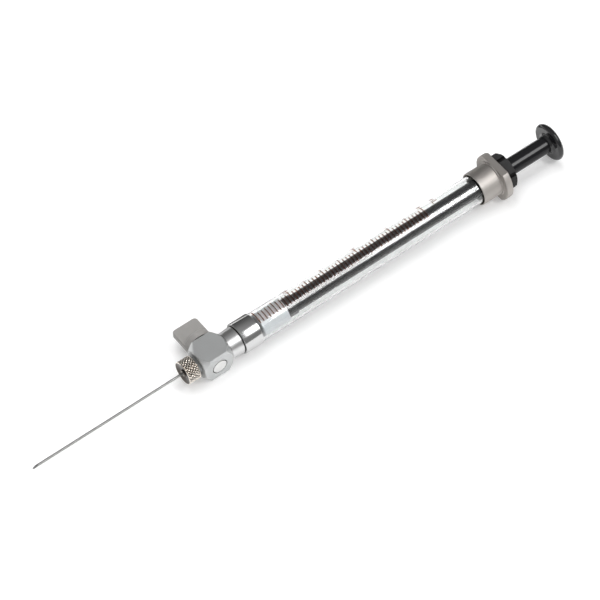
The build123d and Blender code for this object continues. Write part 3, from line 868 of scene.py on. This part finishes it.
knob_low, knob_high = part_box("plunger_knob")
knob_radius = knob_high[2]
knob_back = knob_high[0]
knob_front = knob_low[0] + COLLAR_LENGTH
knob_outline = eased([(knob_low[0], ROD_RADIUS + ROD_GAP, 0),
                      (knob_low[0], ROD_RADIUS + COLLAR_LIP, COLLAR_EDGE),
                      (knob_front + KNOB_DISH, ROD_RADIUS + COLLAR_FLARE, COLLAR_FOOT),
                      (knob_front, knob_radius, KNOB_FRONT_RIM),
                      (knob_back - KNOB_DOME, knob_radius, KNOB_BACK_RIM),
                      (knob_back, POLE, 0), (knob_back - ROD_SEAT, POLE, 0),
                      (knob_back - ROD_SEAT, ROD_RADIUS + ROD_GAP, 0)], KNOB_STEPS)
knob_plastic = plain_material("knob_plastic", ROD_COLOUR, black_gloss, IOR=KNOB_IOR)
knob = new_piece("thumb_button", turned_mesh("thumb_button", knob_outline, FACETS), knob_plastic)
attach(knob, "plunger")
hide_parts("plunger_knob")

# ---------------------------------------------------------------- rear ferrule and finger flange
# One turning, nickel-plated and satin finished: an open lip around the glass, the sleeve, a small step
# and the finger flange, which is milled flat above and below.
NICKEL_COLOUR = (0.49, 0.463, 0.44, 1)
NICKEL_SHADE = (0.43, 0.407, 0.385, 1)
LIP_WALL = 0.38 * MM
LIP_DEPTH = 1.4 * MM
LIP_ROUND = 0.16 * MM
FLANGE_THICKNESS = 2.1 * MM
SOCKET_DEPTH = 5.3 * MM
GUIDE_BORE = 4.08 * MM
SLEEVE_RADIUS = 5.22 * MM
ROOT_STEP = 0.42 * MM
ROOT_ROUND = 0.1 * MM
STEP_ROUND = 0.12 * MM
FLANGE_ROUND = 0.18 * MM


def satin_nickel(place):
    rings = lathe_lines(place, 6000, 4.0)
    cloud = speckle(place, 300.0)
    return {"Base Color": cloud.blend(NICKEL_SHADE, NICKEL_COLOUR),
            "Roughness": rings.between(0.50, 0.64),
            "Normal": bumped(place, rings, 0.004 * MM)}


def make_flange_piece():
    """The turned ferrule with its two flats."""
    low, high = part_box("rear_ferrule")
    front, back = low[0], high[0]
    flange_front = back - FLANGE_THICKNESS
    rim = high[1]
    outline = eased([(front, SLEEVE_RADIUS - LIP_WALL, LIP_ROUND), (front, SLEEVE_RADIUS, LIP_ROUND),
                     (flange_front - ROOT_STEP, SLEEVE_RADIUS, ROOT_ROUND),
                     (flange_front - ROOT_STEP, SLEEVE_RADIUS + ROOT_STEP, STEP_ROUND),
                     (flange_front, SLEEVE_RADIUS + ROOT_STEP, STEP_ROUND),
                     (flange_front, rim, FLANGE_ROUND), (back, rim, FLANGE_ROUND), (back, GUIDE_BORE, 0),
                     (front + SOCKET_DEPTH, GUIDE_BORE, 0), (front + SOCKET_DEPTH, socket_radius, 0),
                     (front + LIP_DEPTH, socket_radius, 0), (front + LIP_DEPTH, SLEEVE_RADIUS - LIP_WALL, 0)])
    mesh = turned_mesh("finger_flange", outline, FACETS)
    shape = bmesh.new()
    shape.from_mesh(mesh)
    for side in (1, -1):
        level = high[2] if side > 0 else low[2]
        cut = bmesh.ops.bisect_plane(shape, geom=shape.verts[:] + shape.edges[:] + shape.faces[:],
                                     plane_co=(0, 0, level), plane_no=(0, 0, side), clear_outer=True)
        rim_edges = [part for part in cut["geom_cut"] if isinstance(part, bmesh.types.BMEdge)]
        filled = bmesh.ops.contextual_create(shape, geom=rim_edges)
        for face in filled["faces"]:
            face.smooth = False
    bmesh.ops.recalc_face_normals(shape, faces=shape.faces)
    shape.to_mesh(mesh)
    shape.free()
    mesh.set_sharp_from_angle(angle=SHARP_EDGE)
    return mesh


nickel = plain_material("satin_nickel", NICKEL_COLOUR, satin_nickel, Metallic=1.0)
flange = new_piece("finger_flange", make_flange_piece(), nickel)
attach(flange, "barrel")
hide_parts("rear_ferrule")

# ---------------------------------------------------------------- guide nut and rear gasket
# Six-sided nut with a key slot at each corner, chemically blackened and dull, and the rubber ring that
# seals the rear of the glass.
GUIDE_COLOUR = (0.017, 0.017, 0.018, 1)
GUIDE_WORN = (0.025, 0.025, 0.025, 1)
SLOT_SHADE_COLOUR = (0.004, 0.003, 0.003, 1)
SLOT_SHADE = 1.5 * MM
RUBBER_COLOUR = (0.015, 0.015, 0.015, 1)


def blackened(place):
    grain = speckle(place, 7000.0, 3.0)
    open_air = place.node("ShaderNodeAmbientOcclusion", {"samples": 8}, {"Distance": SLOT_SHADE}, "AO")
    worn = grain.blend(GUIDE_COLOUR, GUIDE_WORN)
    # painted shade: the key slots and other hollows are coloured darker where nearby metal closes over them
    return {"Base Color": open_air.math("POWER", 3.0).blend(SLOT_SHADE_COLOUR, worn),
            "Roughness": grain.between(0.42, 0.60),
            "Normal": bumped(place, grain, 0.010 * MM)}


def rubber(place):
    grain = speckle(place, 4000.0)
    return {"Roughness": grain.between(0.75, 0.85)}


dress("guide_nut", plain_material("blackened_metal", GUIDE_COLOUR, blackened, Specular_IOR_Level=0.12))
dress("rear_gasket", plain_material("rubber", RUBBER_COLOUR, rubber))
